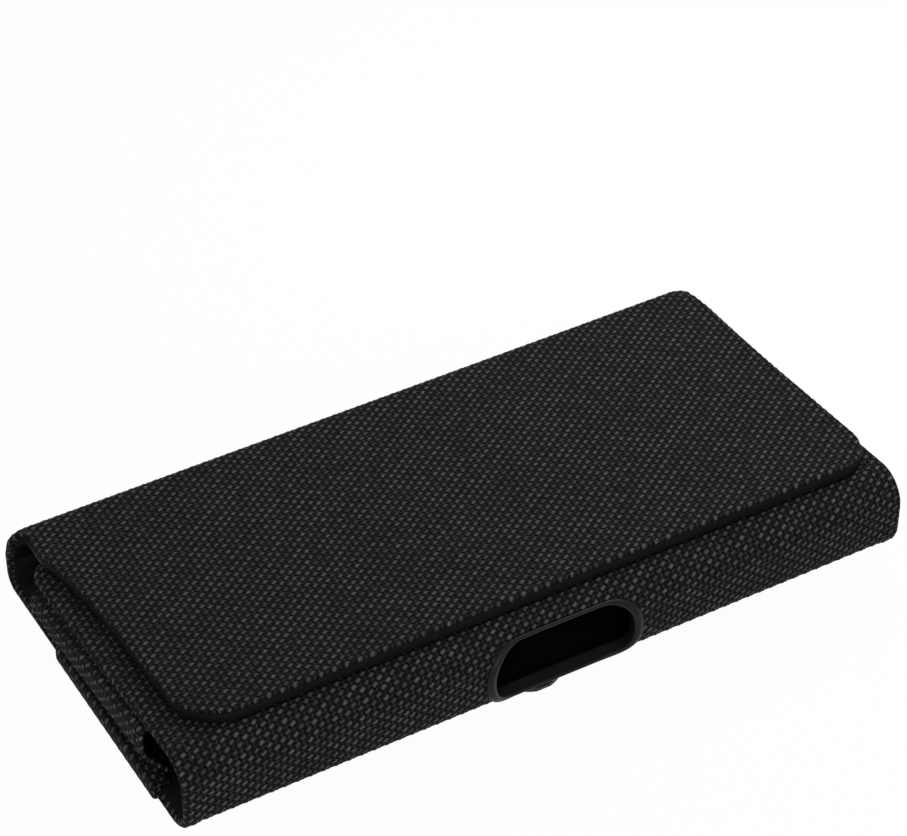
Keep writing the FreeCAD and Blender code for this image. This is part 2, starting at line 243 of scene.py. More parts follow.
# %% Turning a hem
def hemmed(u, rise, half, radius):
    """Where a flat point goes across the sheet: its place along x, and its height over the sheet."""
    beyond = abs(u) - (half - radius)
    if beyond <= 0:
        return u, rise
    angle = min(beyond / radius, math.pi)
    back = max(beyond - math.pi * radius, 0)
    x = half - radius + (radius + rise) * math.sin(angle) - back
    return math.copysign(x, u), (radius + rise) * math.cos(angle) - radius


print(f"a hem takes {math.pi * turn_in / mm:.1f} mm of cloth at each end")

# %% [markdown]
# Corners that give way
#
# A sewn pouch is not a box. The front panel's far corners are rounded, and the fold into the flap sinks
# at its two ends, where no board holds it up. Sculpting could do this, but two short formulas, used
# while the sheet is folded, keep cover and lining together.

# %% Folding the whole sheet
front_corner = 6 * mm
corner_inset = 4 * mm
corner_reach = 14 * mm
sink_depth = 1.5 * mm
sink_reach = 5 * mm
sink_rows = 6 * mm


def drawn_in(x, row):
    """Draws the ends of the front panel inwards near its free edge, which rounds its corners off."""
    into = min(max((front_corner + panel_start - row) / front_corner, 0), 1)
    near_end = min(max(1 - (half_length - abs(x)) / corner_reach, 0), 1)
    return x - math.copysign(corner_inset * (1 - math.sqrt(1 - into ** 2)) * near_end, x)


def fold_pocket(point):
    """Folds a flat point of the pocket's cloth."""
    x, rise = hemmed(point.x, point.z, half_length, turn_in)
    place = along(pocket_runs, point.y, rise)
    return Vector((drawn_in(x, point.y), place.x, place.y))


def fold_lining(point):
    """Folds a flat point of a sheet that lies inside the pocket."""
    place = along(pocket_runs, point.y, point.z)
    return Vector((drawn_in(point.x, point.y), place.x, place.y))


def corner_drop(u, row):
    """How far the fold into the flap sinks near its two ends."""
    at_end = min(max(1 - (half_length - abs(u)) / sink_reach, 0), 1)
    fold_middle = fold_over - flap_runs[1][0] / 2
    on_fold = max(1 - ((row - fold_middle) / sink_rows) ** 2, 0)
    return sink_depth * at_end ** 2 * on_fold


def fold_flap(point):
    """Folds a flat point of the flap's cloth, whose hems are only at the spine."""
    x, rise = hemmed(point.x, point.z, half_length, turn_in)
    place = along(flap_runs, point.y - pocket_end, rise - corner_drop(point.x, point.y))
    return Vector((x, place.x, place.y))


edge_place = fold_pocket(Vector((0, panel_start, 0))) / mm
print("the front panel's edge folds to", edge_place.to_tuple(1), "mm")

# %% [markdown]
# Threads
#
# Ballistic nylon is a plain weave of thick yarn: each warp thread goes over one weft thread and under
# the next. Here the warps lie 1.45 mm apart and the wefts 1.1 mm, so a crown of yarn stands up at every
# other crossing, like the squares of one colour on a chessboard. The warps lean a little, as in cloth
# that was pulled while it was cut. Each yarn could be a tube of its own, but that takes millions of
# faces. A vertex every half thread makes the crowns real relief, and the shader adds what is finer.

# %% Sizes of the weave
cloth_threads = Vector((1.45, 1.1)) * mm
strap_threads = Vector((1.0, 0.9)) * mm
cloth_skew = -0.08
cloth_crown = 0.15 * mm
strap_crown = 0.08 * mm


def on_threads(point, skew):
    """A flat point counted along the threads, when the warps lean over by a share of their length."""
    return Vector((point.x - skew * point.y, point.y))


def crowns(place, threads, height):
    """Height of the yarn over the middle of the cloth."""
    return height * math.cos(math.pi * place.x / threads.x) * math.cos(math.pi * place.y / threads.y)


crowns_in_square = 0.5 * (10 * mm) ** 2 / (cloth_threads.x * cloth_threads.y)
print(f"a square centimetre of the cloth has {crowns_in_square:.0f} crowns")

# %% [markdown]
# From a flat sheet to a piece
#
# A cloth is thin but not paper thin, and it has to be a closed solid. A Solidify modifier could close
# it, but would repeat every thread on the side that nobody sees. So a grid gives the top skin, its
# border is extruded down, and one face closes the bottom. That face is then sliced only where the
# sheet has to bend, so most of the faces are where the weave shows.


# %% Cutting lines
def everything(bm):
    """All that a bmesh holds."""
    return bm.verts[:] + bm.edges[:] + bm.faces[:]


def cut_lines(bm, geometry, columns, rows):
    """Cuts faces along straight lines on the table."""
    lines = [((column, 0, 0), (1, 0, 0)) for column in columns] + [((0, row, 0), (0, 1, 0)) for row in rows]
    for where, way in lines:
        cut = bmesh.ops.bisect_plane(bm, geom=geometry, dist=tiny, plane_co=where, plane_no=way)
        geometry = cut["geom"]


def with_borders(faces):
    """Faces with their edges and corners, as a cut needs them."""
    edges = {edge for face in faces for edge in face.edges}
    verts = {vert for face in faces for vert in face.verts}
    return faces + list(edges) + list(verts)


def strip_of(bm, chosen):
    """The faces whose corners all pass a test, with their edges and corners."""
    return with_borders([face for face in bm.faces if all(chosen(vert.co) for vert in face.verts)])


def bottom_of(bm, height):
    """The faces at one height under the table's, with their edges and corners."""
    return strip_of(bm, lambda point: abs(point.z - height) < tiny)


# %% A grid on the threads, and its thickness
def flat_top(low, high, step, skew=0.0):
    """A grid on the table whose lines follow the threads, trimmed to a rectangle."""
    corners = [on_threads(Vector((x, y)), skew).x for x in (low.x, high.x) for y in (low.y, high.y)]
    first = Vector((math.floor(min(corners) / step.x), math.floor(low.y / step.y)))
    last = Vector((math.ceil(max(corners) / step.x), math.ceil(high.y / step.y)))
    count = last - first
    middle = Vector(((first.x + last.x) / 2 * step.x, (first.y + last.y) / 2 * step.y, 0))
    spread = Matrix.Diagonal((count.x * step.x, count.y * step.y, 1, 1))
    bm = bmesh.new()
    bmesh.ops.create_grid(bm, x_segments=round(count.x), y_segments=round(count.y), size=0.5,
                          matrix=Matrix.Translation(middle) @ spread)
    for vert in bm.verts:
        vert.co.x += skew * vert.co.y
    for where, way in ((low, (-1, 0, 0)), (low, (0, -1, 0)), (high, (1, 0, 0)), (high, (0, 1, 0))):
        bmesh.ops.bisect_plane(bm, geom=everything(bm), dist=tiny, plane_co=where.to_3d(), plane_no=way,
                               clear_outer=True)
    return bm


def thicken(bm, thickness):
    """Closes a flat top into a slab."""
    border = [edge for edge in bm.edges if edge.is_boundary]
    skirt = bmesh.ops.extrude_edge_only(bm, edges=border)["geom"]
    lowered = [item for item in skirt if isinstance(item, bmesh.types.BMVert)]
    bmesh.ops.translate(bm, verts=lowered, vec=(0, 0, -thickness))
    bmesh.ops.edgeloop_fill(bm, edges=[edge for edge in bm.edges if edge.is_boundary])
    bmesh.ops.recalc_face_normals(bm, faces=bm.faces[:])


def raise_top(bm, lift):
    """Lifts each corner of the top skin by what a function says for its place."""
    for vert in bm.verts:
        if abs(vert.co.z) < tiny:
            vert.co.z += lift(vert.co)


# %% [markdown]
# Dies
#
# Slots and rounded outlines are punched from the sheet with a steel die. Picking and deleting faces
# would leave a jagged edge, because the grid's lines don't follow the curve. So the outline is made as a
# small slab of its own, and an exact Boolean cuts the sheet with it.


# %% Plates and dies
die_low = -4 * mm
die_high = 2 * mm


def mesh_object(bm, name):
    """Puts a bmesh into the scene."""
    mesh = bpy.data.meshes.new(name)
    bm.to_mesh(mesh)
    made = bpy.data.objects.new(name, mesh)
    bpy.context.scene.collection.objects.link(made)
    return made


def flat_plate(low, high):
    """One rectangle on the table."""
    bm = bmesh.new()
    spread = Matrix.Diagonal((high.x - low.x, high.y - low.y, 1, 1))
    bmesh.ops.create_grid(bm, x_segments=1, y_segments=1, size=0.5,
                          matrix=Matrix.Translation(((low + high) / 2).to_3d()) @ spread)
    return bm


def round_corners(bm, corners, radius, segments):
    """Rounds corners of a flat plate with a few short segments each."""
    bmesh.ops.bevel(bm, geom=corners, offset=radius, offset_type="OFFSET", affect="VERTICES",
                    segments=segments, profile=0.5, material=-1)


def die_cut(bm, plate, operation):
    """Cuts a slab like a die: INTERSECT keeps what is inside the outline, DIFFERENCE keeps the rest."""
    bmesh.ops.translate(plate, verts=plate.verts[:], vec=(0, 0, die_high))
    thicken(plate, die_high - die_low)
    sheet = mesh_object(bm, "sheet")
    die = mesh_object(plate, "die")
    modifier = sheet.modifiers.new("cut", "BOOLEAN")
    modifier.operation = operation
    modifier.solver = "EXACT"
    modifier.object = die
    graph = bpy.context.evaluated_depsgraph_get()
    cut = bpy.data.meshes.new_from_object(sheet.evaluated_get(graph))
    bm.clear()
    bm.from_mesh(cut)
    plate.free()
    for made in (sheet, die):
        bpy.data.objects.remove(made)
    bpy.data.meshes.remove(cut)


# %% [markdown]
# Folding a piece
#
# When a piece is cut and its relief is in, it is folded. Each point first writes its flat place into
# the UV, in millimetres along the threads. An unwrap afterwards would guess at that place, and the
# weave would slide at every bend.


# %% Folding and dressing
def lay_uv(bm, skew):
    """Keeps each point's place on the table, in millimetres along the threads, as its UV."""
    layer = bm.loops.layers.uv.new("flat_mm")
    for face in bm.faces:
        for loop in face.loops:
            loop[layer].uv = on_threads(loop.vert.co, skew) / mm


def finish_piece(bm, name, fold, material, skew=0.0):
    """Folds a flat piece into place and makes its object."""
    lay_uv(bm, skew)
    for vert in bm.verts:
        vert.co = fold(vert.co)
    bmesh.ops.recalc_face_normals(bm, faces=bm.faces[:])
    for face in bm.faces:
        face.smooth = True
    made = mesh_object(bm, name)
    made.data.materials.append(material)
    bm.free()
    print(f"{name}: {len(made.data.vertices)} vertices")
    return made


# %% [markdown]
# Finishes
#
# A finish is a small graph of shader nodes. It could be wired by hand in the editor, but written down it
# can be read and changed. One function adds a node, sets it up and links it, so a graph reads from top
# to bottom like a recipe. Colours are written in hex, as a screen shows them, and turned to the linear
# values that light is counted in.


# %% Helpers for finishes
def linear(hex_code):
    """The linear colour of an sRGB hex code."""
    shares = [int(hex_code[place:place + 2], 16) / 255 for place in (1, 3, 5)]
    return (*[share / 12.92 if share <= 0.04045 else ((share + 0.055) / 1.055) ** 2.4 for share in shares], 1)


def add(tree, kind, inputs, **settings):
    """Adds a node, sets it up, and fills its sockets with values or with what other nodes give."""
    made = tree.nodes.new(kind)
    for name, value in settings.items():
        setattr(made, name, value)
    live = [socket for socket in made.inputs if socket.enabled]
    for key, value in inputs.items():
        socket = live[key] if isinstance(key, int) else next(item for item in live if item.name == key)
        if isinstance(value, bpy.types.Node):
            value = next(item for item in value.outputs if item.enabled)
        if isinstance(value, bpy.types.NodeSocket):
            tree.links.new(value, socket)
        else:
            socket.default_value = value
    return made


def new_finish(name, constants):
    """A material whose shader has its constants set."""
    made = bpy.data.materials.new(name)
    made.use_nodes = True
    shader = made.node_tree.nodes["Principled BSDF"]
    for socket, value in constants.items():
        shader.inputs[socket].default_value = value
    return made, made.node_tree, shader


print("a screen's mid grey is", round(linear("#808080")[0], 3), "of white in light")

# %% [markdown]
# Ballistic nylon
#
# Thick yarns of black nylon filament, woven plain. Each yarn is round, so its back shines and the
# crevices beside it go nearly black. A photograph of cloth could be wrapped on, but it would bring its
# own light. The graph works on the flat UV instead, counted in threads. First it finds the place: cloth
# is never quite regular, so the place drifts, and the wefts sway where the warps press on them.


# %% Where a point lies on the threads
def thread_place(tree, threads):
    """A point's place on the flat cloth with a slight drift, in millimetres and counted in threads."""
    drift_per_mm = 0.4
    drift_reach = (0.5, 0.4, 0)
    sway_share = 0.12
    flat = add(tree, "ShaderNodeUVMap", {}, uv_map="flat_mm")
    drift = add(tree, "ShaderNodeTexNoise", {"Vector": flat, "Scale": drift_per_mm, "Detail": 2.0})
    centred = add(tree, "ShaderNodeVectorMath", {0: drift.outputs["Color"], 1: (-0.5, -0.5, 0)},
                  operation="ADD")
    moved = add(tree, "ShaderNodeVectorMath", {0: centred, 1: drift_reach, 2: flat},
                operation="MULTIPLY_ADD")
    straight = add(tree, "ShaderNodeVectorMath", {0: moved, 1: (mm / threads.x, mm / threads.y, 0)},
                   operation="MULTIPLY")
    turns = add(tree, "ShaderNodeVectorMath", {0: straight, 1: (2 * math.pi, 0, 0)}, operation="MULTIPLY")
    sway = add(tree, "ShaderNodeVectorMath", {0: turns}, operation="SINE")
    sway_x = add(tree, "ShaderNodeSeparateXYZ", {0: sway})
    pulled = add(tree, "ShaderNodeCombineXYZ", {"Y": sway_x.outputs["X"]})
    place = add(tree, "ShaderNodeVectorMath", {0: pulled, 1: (0, sway_share, 0), 2: straight},
                operation="MULTIPLY_ADD")
    return moved, place


# %% [markdown]
# Round yarns
#
# A parabola is a yarn's round back, and a cosine lifts it over one crossing and under the next. The
# wefts make the crowns here, because the warps are pulled straighter and lie lower. Fine noise, drawn
# out along the twist, stands for the filaments; real ones are a fiftieth of a millimetre thick, so they
# are drawn about ten times coarser. The higher of warp and weft is what shows.


# %% Height of the yarns
def yarn_height(tree, moved, place, crossing):
    """Height of what shows at a point of the cloth."""
    twist = math.radians(18)
    # Lumps of the filament noise in a millimetre, across a yarn and along it.
    across, lengthwise = 4.5, 1.6
    # How far a yarn rises over a crossing. The warps' share is negative, since they go under there.
    warp_wave, weft_wave = -0.5, 0.9
    warp_sink = 0.35
    filament_height = 0.9
    warp = ("X", "Y", warp_wave, (across, lengthwise, 1.0))
    weft = ("Y", "X", weft_wave, (lengthwise, across, 1.0))
    off_axis = add(tree, "ShaderNodeVectorMath", {0: place, 1: crossing}, operation="SUBTRACT")
    squared = add(tree, "ShaderNodeVectorMath", {0: off_axis, 1: off_axis}, operation="MULTIPLY")
    backs = add(tree, "ShaderNodeVectorMath", {0: squared, 1: (-4, -4, 0), 2: (1, 1, 0)},
                operation="MULTIPLY_ADD")
    lift_turns = add(tree, "ShaderNodeVectorMath", {0: place, 1: (math.pi, math.pi, 0)},
                     operation="MULTIPLY")
    lifts = add(tree, "ShaderNodeVectorMath", {0: lift_turns}, operation="COSINE")
    sign_turns = add(tree, "ShaderNodeVectorMath", {0: crossing, 1: (math.pi, math.pi, 0)},
                     operation="MULTIPLY")
    signs = add(tree, "ShaderNodeVectorMath", {0: sign_turns}, operation="COSINE")
    back = add(tree, "ShaderNodeSeparateXYZ", {0: backs})
    lift = add(tree, "ShaderNodeSeparateXYZ", {0: lifts})
    sign = add(tree, "ShaderNodeSeparateXYZ", {0: signs})
    heights = []
    for side, other, wave, stretch in (warp, weft):
        over = add(tree, "ShaderNodeMath", {0: sign.outputs[side], 1: lift.outputs[other]},
                   operation="MULTIPLY")
        smooth = add(tree, "ShaderNodeMath", {0: over, 1: wave, 2: back.outputs[side]},
                     operation="MULTIPLY_ADD")
        drawn = add(tree, "ShaderNodeMapping", {"Vector": moved, "Rotation": (0, 0, twist), "Scale": stretch})
        filaments = add(tree, "ShaderNodeTexNoise", {"Vector": drawn, "Scale": 1.0, "Detail": 3.0})
        heights.append(add(tree, "ShaderNodeMath", {0: filaments.outputs[0], 1: filament_height, 2: smooth},
                           operation="MULTIPLY_ADD"))
    lower_warp = add(tree, "ShaderNodeMath", {0: heights[0], 1: warp_sink}, operation="SUBTRACT")
    return add(tree, "ShaderNodeMath", {0: lower_warp, 1: heights[1]}, operation="MAXIMUM")


# %% [markdown]
# Painted shine and shade
#
# What stands high gets a painted grey highlight and more gloss, and what lies low gets painted black shade
# and less gloss. The painted highlight differs from crossing to crossing, since each yarn lies a little
# differently, and painted sparks along the filaments break it up. A glossier constant would make the whole
# cloth look wet, so gloss follows height.


# %% Woven finish
def woven_finish(name, threads, crevice_shade, crown_highlight):
    """Plain weave of round yarns, with painted black shade in the crevices and a painted grey highlight on
    the crowns.
    """
    yarn_relief = 0.3 * mm
    dull_below, bright_above = 1.05, 2.4
    steepness = 1.6
    least_luck = 0.4
    sparks_per_mm = 5.5
    rough_crevice, rough_crown = 0.9, 0.42
    made, tree, shader = new_finish(name, {"IOR": 1.53, "Specular IOR Level": 0.08})
    moved, place = thread_place(tree, threads)
    half_on = add(tree, "ShaderNodeVectorMath", {0: place, 1: (0.5, 0.5, 0)}, operation="ADD")
    crossing = add(tree, "ShaderNodeVectorMath", {0: half_on}, operation="FLOOR")
    height = yarn_height(tree, moved, place, crossing)
    bump = add(tree, "ShaderNodeBump", {"Strength": 1.0, "Distance": yarn_relief, "Height": height})
    tree.links.new(bump.outputs[0], shader.inputs["Normal"])

    # Painted light: by height, the base colour runs from painted shade in the crevices up to a painted
    # highlight on the crowns.
    raised = add(tree, "ShaderNodeMapRange", {"Value": height, "From Min": dull_below,
                                              "From Max": bright_above}, clamp=True)
    steep = add(tree, "ShaderNodeMath", {0: raised, 1: steepness}, operation="POWER")
    # The painted highlight is stronger on some crossings than on others, at random.
    luck = add(tree, "ShaderNodeTexWhiteNoise", {"Vector": crossing}, noise_dimensions="2D")
    share = add(tree, "ShaderNodeMapRange", {"Value": luck.outputs["Value"], "To Min": least_luck,
                                             "To Max": 1.0})
    whole = add(tree, "ShaderNodeMath", {0: steep, 1: share}, operation="MULTIPLY")
    # Painted glints along the filaments break up the painted highlight.
    sparks = add(tree, "ShaderNodeTexNoise", {"Vector": moved, "Scale": sparks_per_mm, "Detail": 2.0})
    broken = add(tree, "ShaderNodeMapRange", {"Value": sparks.outputs[0], "From Min": 0.35, "From Max": 0.65,
                                              "To Min": 0.1, "To Max": 1.45})
    shine = add(tree, "ShaderNodeMath", {0: whole, 1: broken}, operation="MULTIPLY")
    # The painted shade and the painted highlight are mixed into the base colour here.
    colour = add(tree, "ShaderNodeMix", {"Factor": shine, "A": linear(crevice_shade), "B": linear(crown_highlight)},
                 data_type="RGBA")
    tree.links.new(colour.outputs[2], shader.inputs["Base Color"])
    rough = add(tree, "ShaderNodeMapRange", {"Value": shine, "To Min": rough_crevice, "To Max": rough_crown})
    tree.links.new(rough.outputs[0], shader.inputs["Roughness"])
    return made


# Ballistic nylon, woven and dyed black, with a painted grey highlight on its crowns and painted shade in its
# crevices.
woven_nylon = woven_finish("ballistic_nylon_woven", cloth_threads, "#060606", "#686869")
# Nylon strap, woven narrow and tight: finer and flatter crowns than the cloth's, with a dimmer painted
# highlight on them, so a calmer sheen.
webbing = woven_finish("nylon_strap_woven", strap_threads, "#050505", "#5a5a5b")
print("woven nodes:", len(woven_nylon.node_tree.nodes))

# %% [markdown]
# Smooth films
#
# The flap's inside and edge are leathercloth, a polyurethane film rolled on to fabric, and the pocket is
# lined with a thinner one. Rolling leaves a grain of fine cells. Noise would give soft lumps, so Voronoi
# cells do it, half a millimetre wide: coarser than the real tenth of a millimetre, so that they show.


# %% Film finishes
def grained_finish(name, colour, scuffed, rough, shine, grain, depth):
    """A satin film with a rolled grain, a little lighter where it was rubbed."""
    rubbed_patch = 9 * mm
    rougher = 0.12
    made, tree, shader = new_finish(name, {"IOR": 1.5, "Specular IOR Level": shine})
    place = add(tree, "ShaderNodeTexCoord", {}).outputs["Object"]
    cells = add(tree, "ShaderNodeTexVoronoi", {"Vector": place, "Scale": 1 / grain}, feature="SMOOTH_F1")
    bump = add(tree, "ShaderNodeBump", {"Strength": 1.0, "Distance": depth, "Height": cells})
    tree.links.new(bump.outputs[0], shader.inputs["Normal"])
    rubbed = add(tree, "ShaderNodeTexNoise", {"Vector": place, "Scale": 1 / rubbed_patch, "Detail": 4.0})
    share = add(tree, "ShaderNodeMapRange", {"Value": rubbed.outputs[0], "From Min": 0.45, "From Max": 0.75})
    tint = add(tree, "ShaderNodeMix", {"Factor": share, "A": linear(colour), "B": linear(scuffed)},
               data_type="RGBA")
    tree.links.new(tint.outputs[2], shader.inputs["Base Color"])
    worn = add(tree, "ShaderNodeMapRange", {"Value": share, "To Min": rough, "To Max": rough + rougher})
    tree.links.new(worn.outputs[0], shader.inputs["Roughness"])
    return made


# Leathercloth, rolled: nearly black, with a dull sheen that the grain breaks up.
leathercloth = grained_finish("leathercloth_rolled", "#0b0a0a", "#100f0f", 0.6, 0.06, 0.5 * mm, 0.04 * mm)
# Polyurethane lining film, cast matt: duller still, and slightly brown.
lining_film = grained_finish("polyurethane_lining_matt", "#090807", "#0f0d0b", 0.65, 0.06,
                             0.6 * mm, 0.03 * mm)
# Thermoplastic rubber, moulded against a satin steel face: brownish black with a soft gleam.
moulded_edge = grained_finish("rubber_moulded_satin", "#080706", "#0f0d0c", 0.4, 0.14, 0.8 * mm, 0.01 * mm)
# Bonded polyester thread, twisted and waxed: a soft shine on fine uneven plies.
sewing_thread = grained_finish("polyester_thread_bonded", "#080808", "#161616", 0.5, 0.15,
                               0.3 * mm, 0.05 * mm)
print("films, rubber and thread are in:", len(bpy.data.materials), "materials so far")

# %% [markdown]
# Metals
#
# The clip is spring steel with black oxide, a thin dark skin that stays a little metallic and is mottled
# like slate. Rivets, catch plates and magnets are nickel plated: bright, and softened by polishing in a
# barrel. One colour and one gloss would look like plastic, so both drift in patches of a few
# millimetres.


# %% Metal finishes
def metal_finish(name, dark, light, metallic, rough, patch):
    """A metal skin whose colour and gloss drift in patches."""
    swing = 0.1
    made, tree, shader = new_finish(name, {"Metallic": metallic})
    place = add(tree, "ShaderNodeTexCoord", {}).outputs["Object"]
    mottle = add(tree, "ShaderNodeTexNoise", {"Vector": place, "Scale": 1 / patch, "Detail": 6.0})
    tint = add(tree, "ShaderNodeMix", {"Factor": mottle.outputs[0], "A": linear(dark), "B": linear(light)},
               data_type="RGBA")
    tree.links.new(tint.outputs[2], shader.inputs["Base Color"])
    gloss = add(tree, "ShaderNodeMapRange", {"Value": mottle.outputs[0], "To Min": rough - swing,
                                             "To Max": rough + swing})
    tree.links.new(gloss.outputs[0], shader.inputs["Roughness"])
    return made


# Spring steel, blackened in a hot salt bath: blue black, with a half metallic gleam.
black_steel = metal_finish("spring_steel_black_oxide", "#1b1b1d", "#2c2c2f", 0.7, 0.42, 5 * mm)
# Nickel plated steel, polished in a barrel: warm grey metal with a soft, even shine.
nickel = metal_finish("steel_nickel_plated", "#8d8a83", "#a9a69e", 1.0, 0.32, 2 * mm)
print("finishes:", len(bpy.data.materials))

# %% [markdown]
# Hems of the cover
#
# The cover's ends are folded round the board and sewn down. On the outside the fold shows as a slightly
# raised strip, and the seam pulls a groove into the cloth. Both could be a bump, but they show against
# the light at the pouch's ends, so they are moved in the mesh. Yarn that is stretched round the very end
# lies flatter.

# %% Relief of the hems
hem_width = 3.5 * mm
hem_rise = 0.16 * mm
hem_slope = 0.6 * mm
hem_strip = 6 * mm
hem_cuts = 9
groove_depth = 0.18 * mm
groove_half = 0.35 * mm
under_leg = 0.35 * mm
calm_share = 0.85
cloth_calm = 1.5 * mm
seam_x = half_length - hem_width
sheet_half = half_length + (math.pi - 1) * turn_in + under_leg


def smooth_step(share):
    """Rises gently from 0 to 1."""
    share = min(max(share, 0), 1)
    return share * share * (3 - 2 * share)


def hem_relief(u):
    """The raised strip of the end hem, and the groove that its seam pulls into the cloth."""
    from_seam = abs(u) - seam_x
    groove = math.exp(-(from_seam / groove_half) ** 2)
    return hem_rise * smooth_step(from_seam / hem_slope + 0.5) - groove_depth * groove


def edge_calm(across, half, reach):
    """The share of the crowns that is left where cloth is stretched round an edge."""
    return 1 - calm_share * smooth_step((abs(across) - half + reach) / reach)


def cloth_yarn(point):
    """Height of the crowns on the cover."""
    yarn = crowns(on_threads(point, cloth_skew), cloth_threads, cloth_crown)
    return yarn * edge_calm(point.x, half_length, cloth_calm)


print(f"the sheet is {2 * sheet_half / mm:.1f} mm wide before its ends are turned")


# %% Edges for the hems
def hem_columns():
    """Lines along the hem, close together where the cloth dips or turns."""
    near_seam = [seam_x + groove_half * step for step in range(-2, 3)]
    turn = [half_length + turn_in * (math.pi * index / hem_cuts - 1) for index in range(hem_cuts + 1)]
    return near_seam + turn


def refine_hems(bm):
    """Adds the hem's lines at both ends of a sheet."""
    for side in (-1, 1):
        end = strip_of(bm, lambda point: side * point.x > half_length - hem_strip)
        cut_lines(bm, end, [side * column for column in hem_columns()], [])


print("lines for each hem:", len(hem_columns()))

# %% [markdown]
# The slot
#
# A slot with round ends goes through the bottom wall, so that a thumb can reach in from below.
# Cutting it from the folded wall would need a die that follows the wall's rounds. On the flat sheet it
# is a plain outline, if its heights over the back are first turned into rows along the sheet.

# %% The slot's place on the flat sheet
slot_low, slot_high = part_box("slot_rim")
slot_middle = 0.5 * (slot_low.x + slot_high.x)
slot_half = 16.5 * mm
slot_round = 7.4 * mm
slot_top = 17.0 * mm
slot_foot = 1.9 * mm
rim_sleeve = 0.9 * mm
halvings = 40


def row_at_height(height):
    """How far along the flat sheet the bottom wall has a height over the back."""
    near, far = top_of_wall, foot_of_wall
    for halving in range(halvings):
        middle = 0.5 * (near + far)
        if along(pocket_runs, middle, 0).y > back_z + height:
            near = middle
        else:
            far = middle
    return near


slot_top_row = row_at_height(slot_top)
slot_low_row = row_at_height(slot_foot)


def slot_plate(grow):
    """The slot's outline, larger than it by a margin."""
    plate = flat_plate(Vector((slot_middle - slot_half - grow, slot_top_row - grow)),
                       Vector((slot_middle + slot_half + grow, slot_low_row + grow)))
    round_corners(plate, plate.verts[:], slot_round + grow, segments=8)
    return plate


print(f"slot from row {slot_top_row / mm:.1f} to row {slot_low_row / mm:.1f} mm")

# %% [markdown]
# The pocket's cover
#
# One strip of cloth makes front panel, bottom wall, back and half of the spine. It could be four panels,
# but the real one has no seam at the rounds. So the strip is made whole, punched for the slot, given
# edges where it turns, and folded.

# %% Pocket cover
fold_step = 0.6 * mm
turn_step = 0.3 * mm
turned_edge = 6 * mm

bm = flat_top(Vector((-sheet_half, 0)), Vector((sheet_half, pocket_end)), cloth_threads / 2, cloth_skew)
thicken(bm, cover)
die_cut(bm, slot_plate(rim_sleeve), "DIFFERENCE")
refine_hems(bm)
free_edge = strip_of(bm, lambda point: point.y < turned_edge)
cut_lines(bm, free_edge, [], round_rows(pocket_runs[:4], 0, turn_step))
cut_lines(bm, bottom_of(bm, -cover), [], round_rows(pocket_runs, 0, fold_step))
raise_top(bm, lambda point: cloth_yarn(point) + hem_relief(point.x))
pocket_cloth = finish_piece(bm, "pocket_cloth", fold_pocket, woven_nylon, cloth_skew)
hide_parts("pocket_cover")

# %% [markdown]
# The pocket's lining
#
# Inside the cover lie a board and a smooth lining, a little shorter than it, so that the hems hide their
# edges. Two sheets could be folded, but only the lining shows, and the sheets never part. So one sheet
# as thick as both follows the same path.

# %% Pocket lining
setback = 1 * mm
lining_start = panel_start + setback
bm = flat_plate(Vector((setback - half_length, lining_start)), Vector((half_length - setback, pocket_end)))
bmesh.ops.translate(bm, verts=bm.verts[:], vec=(0, 0, -cover))
thicken(bm, board + lining)
die_cut(bm, slot_plate(rim_sleeve), "DIFFERENCE")
corner_columns = [corner_reach - half_length, half_length - corner_reach]
corner_rows = [lining_start + front_corner * index / 10 for index in range(1, 10)]
lining_rows = round_rows(pocket_runs[5:], top_of_wall, fold_step)
cut_lines(bm, everything(bm), corner_columns, corner_rows + lining_rows)
pocket_film = finish_piece(bm, "pocket_film", fold_lining, lining_film)
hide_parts("pocket_lining", "pocket_stiffener")

# %% [markdown]
# The flap's outline
#
# Cloth and facing are cut to the same outline: straight sides near the free edge, flaring to the full
# width at the spine, with rounded front corners. The flare could be drawn by hand, but a circle's arc
# leaves the straight side without a kink. Where the hems of the spine run out, the sides are nipped in.

# %% Outline of the flap
flare_start = cloth_end - 34.8 * mm
flare_rise = 44 * mm
taper_left = 5.7 * mm
taper_right = 1.5 * mm
nip_left = 2.0 * mm
nip_right = 0.6 * mm
nip_length = 10 * mm
hem_runout = 4 * mm
round_left = 11 * mm
round_right = 9 * mm
edge_proud = 0.3 * mm


def past_hem(row):
    """Rises from 0 to 1 on the fold, where the end hem of the spine runs out."""
    return smooth_step((row - fold_over + hem_runout) / hem_runout)


def flap_side(row, taper, nip):
    """Half width of the flap's outline at a distance along the sheet."""
    radius = (flare_rise ** 2 + taper ** 2) / (2 * taper)
    flared = min(max(flare_start - row, 0), flare_rise)
    nipped = nip * past_hem(row) * (1 - smooth_step((row - fold_over) / nip_length))
    return half_length - taper + radius - math.sqrt(radius ** 2 - flared ** 2) - nipped


def cloth_side(row, taper, nip):
    """Half width of the flap's cloth: hemmed at the spine, cut just inside the band elsewhere."""
    return sheet_half + (flap_side(row, taper, nip) - edge_proud - sheet_half) * past_hem(row)


def facing_side(row, taper, nip):
    """Half width of the facing: set back under the hem at the spine."""
    return min(flap_side(row, taper, nip), half_length - setback)


